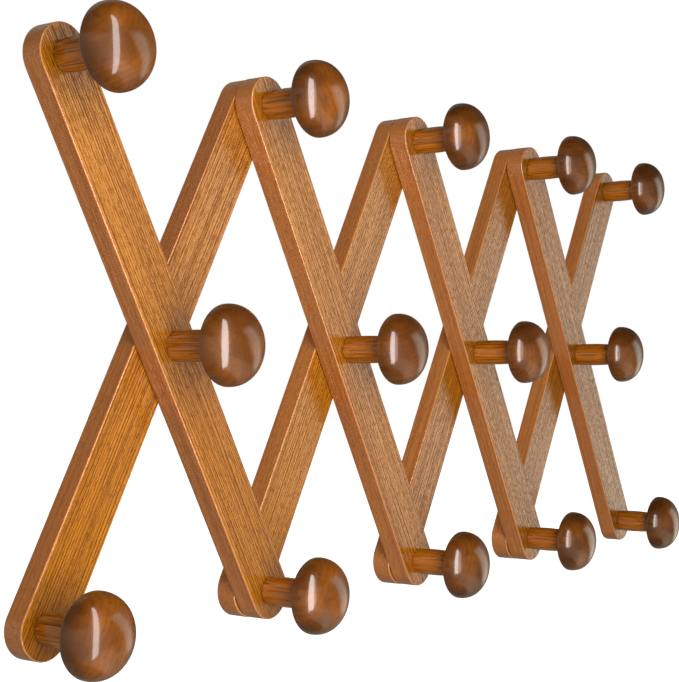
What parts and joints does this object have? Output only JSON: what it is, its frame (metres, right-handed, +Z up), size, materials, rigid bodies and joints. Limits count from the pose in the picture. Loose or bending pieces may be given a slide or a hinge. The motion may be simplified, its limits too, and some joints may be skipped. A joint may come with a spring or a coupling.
{
  "type": "expanding lattice wall peg rack",
  "caption": "Wooden wall rack of crossed slats that folds like a lattice, with a turned mushroom peg at every pivot for coats, hats and bags.",
  "frame": {"origin": "on the wall plane, on the axis of the middle pivot of the top row", "axes": "+X along the wall to the right, seen from the room, +Y into the wall, +Z up; the pegs point towards -Y"},
  "size_m": [0.625, 0.0725, 0.2985],
  "materials": {
    "slat_wood": "satin lacquer over an orange-brown stain",
    "peg_wood": "gloss lacquer over a walnut-brown stain",
    "zinc_steel": "bright zinc plate",
    "hanger_brass": "brass plate"
  },
  "bodies": {
    "top_centre_pivot": {"peg_top_3": "peg_wood", "pivot_screw_top_3": "zinc_steel", "washer_top_3": "zinc_steel"},
    "rear_slat_2": {"rear_slat_2": "slat_wood"},
    "front_slat_3": {"front_slat_3": "slat_wood", "peg_middle_3": "peg_wood", "pivot_screw_middle_3": "zinc_steel", "washer_middle_3": "zinc_steel", "peg_bottom_4": "peg_wood", "pivot_screw_bottom_4": "zinc_steel", "washer_bottom_4": "zinc_steel"},
    "front_slat_2": {"front_slat_2": "slat_wood", "peg_middle_2": "peg_wood", "pivot_screw_middle_2": "zinc_steel", "washer_middle_2": "zinc_steel", "peg_top_2": "peg_wood", "pivot_screw_top_2": "zinc_steel", "washer_top_2": "zinc_steel", "peg_bottom_3": "peg_wood", "pivot_screw_bottom_3": "zinc_steel", "washer_bottom_3": "zinc_steel"},
    "rear_slat_3": {"rear_slat_3": "slat_wood", "hanger_plate_right": "hanger_brass", "hanger_screw_right_upper": "hanger_brass", "hanger_screw_right_lower": "hanger_brass"},
    "rear_slat_1": {"rear_slat_1": "slat_wood", "hanger_plate_left": "hanger_brass", "hanger_screw_left_upper": "hanger_brass", "hanger_screw_left_lower": "hanger_brass", "peg_bottom_1": "peg_wood", "pivot_screw_bottom_1": "zinc_steel", "washer_bottom_1": "zinc_steel"},
    "front_slat_1": {"front_slat_1": "slat_wood", "peg_top_1": "peg_wood", "pivot_screw_top_1": "zinc_steel", "washer_top_1": "zinc_steel", "peg_middle_1": "peg_wood", "pivot_screw_middle_1": "zinc_steel", "washer_middle_1": "zinc_steel", "peg_bottom_2": "peg_wood", "pivot_screw_bottom_2": "zinc_steel", "washer_bottom_2": "zinc_steel"},
    "front_slat_4": {"front_slat_4": "slat_wood", "peg_middle_4": "peg_wood", "pivot_screw_middle_4": "zinc_steel", "washer_middle_4": "zinc_steel", "peg_top_4": "peg_wood", "pivot_screw_top_4": "zinc_steel", "washer_top_4": "zinc_steel", "peg_bottom_5": "peg_wood", "pivot_screw_bottom_5": "zinc_steel", "washer_bottom_5": "zinc_steel"},
    "rear_slat_4": {"rear_slat_4": "slat_wood", "peg_top_5": "peg_wood", "pivot_screw_top_5": "zinc_steel", "washer_top_5": "zinc_steel"}
  },
  "joints": [
    {"name": "lattice_fold", "type": "hinge", "parent": "top_centre_pivot", "child": "rear_slat_2", "pos_m": [0, 0, 0], "axis": [0, 1, 0], "range_deg": [-21, 35]},
    {"name": "top_pivot_3_front", "type": "hinge", "parent": "top_centre_pivot", "child": "front_slat_3", "pos_m": [0, 0, 0], "axis": [0, 1, 0], "range_deg": [-35, 21]},
    {"name": "middle_pivot_2", "type": "hinge", "parent": "rear_slat_2", "child": "front_slat_2", "pos_m": [-0.07312, 0, -0.12925], "axis": [0, 1, 0], "range_deg": [-70, 42]},
    {"name": "middle_pivot_3", "type": "hinge", "parent": "front_slat_3", "child": "rear_slat_3", "pos_m": [0.07312, 0, -0.12925], "axis": [0, 1, 0], "range_deg": [-42, 70]},
    {"name": "top_pivot_2", "type": "hinge", "parent": "front_slat_2", "child": "rear_slat_1", "pos_m": [-0.14625, 0, 0], "axis": [0, 1, 0], "range_deg": [-42, 70]},
    {"name": "middle_pivot_1", "type": "hinge", "parent": "rear_slat_1", "child": "front_slat_1", "pos_m": [-0.21937, 0, -0.12925], "axis": [0, 1, 0], "range_deg": [-70, 42]},
    {"name": "top_pivot_4", "type": "hinge", "parent": "rear_slat_3", "child": "front_slat_4", "pos_m": [0.14625, 0, 0], "axis": [0, 1, 0], "range_deg": [-70, 42]},
    {"name": "middle_pivot_4", "type": "hinge", "parent": "front_slat_4", "child": "rear_slat_4", "pos_m": [0.21937, 0, -0.12925], "axis": [0, 1, 0], "range_deg": [-42, 70]}
  ],
  "couplings": [
    {"joint": "top_pivot_3_front", "follows": "lattice_fold", "ratio": -1},
    {"joint": "middle_pivot_2", "follows": "lattice_fold", "ratio": -2},
    {"joint": "middle_pivot_3", "follows": "lattice_fold", "ratio": 2},
    {"joint": "top_pivot_2", "follows": "lattice_fold", "ratio": 2},
    {"joint": "middle_pivot_1", "follows": "lattice_fold", "ratio": -2},
    {"joint": "top_pivot_4", "follows": "lattice_fold", "ratio": -2},
    {"joint": "middle_pivot_4", "follows": "lattice_fold", "ratio": 2}
  ]
}
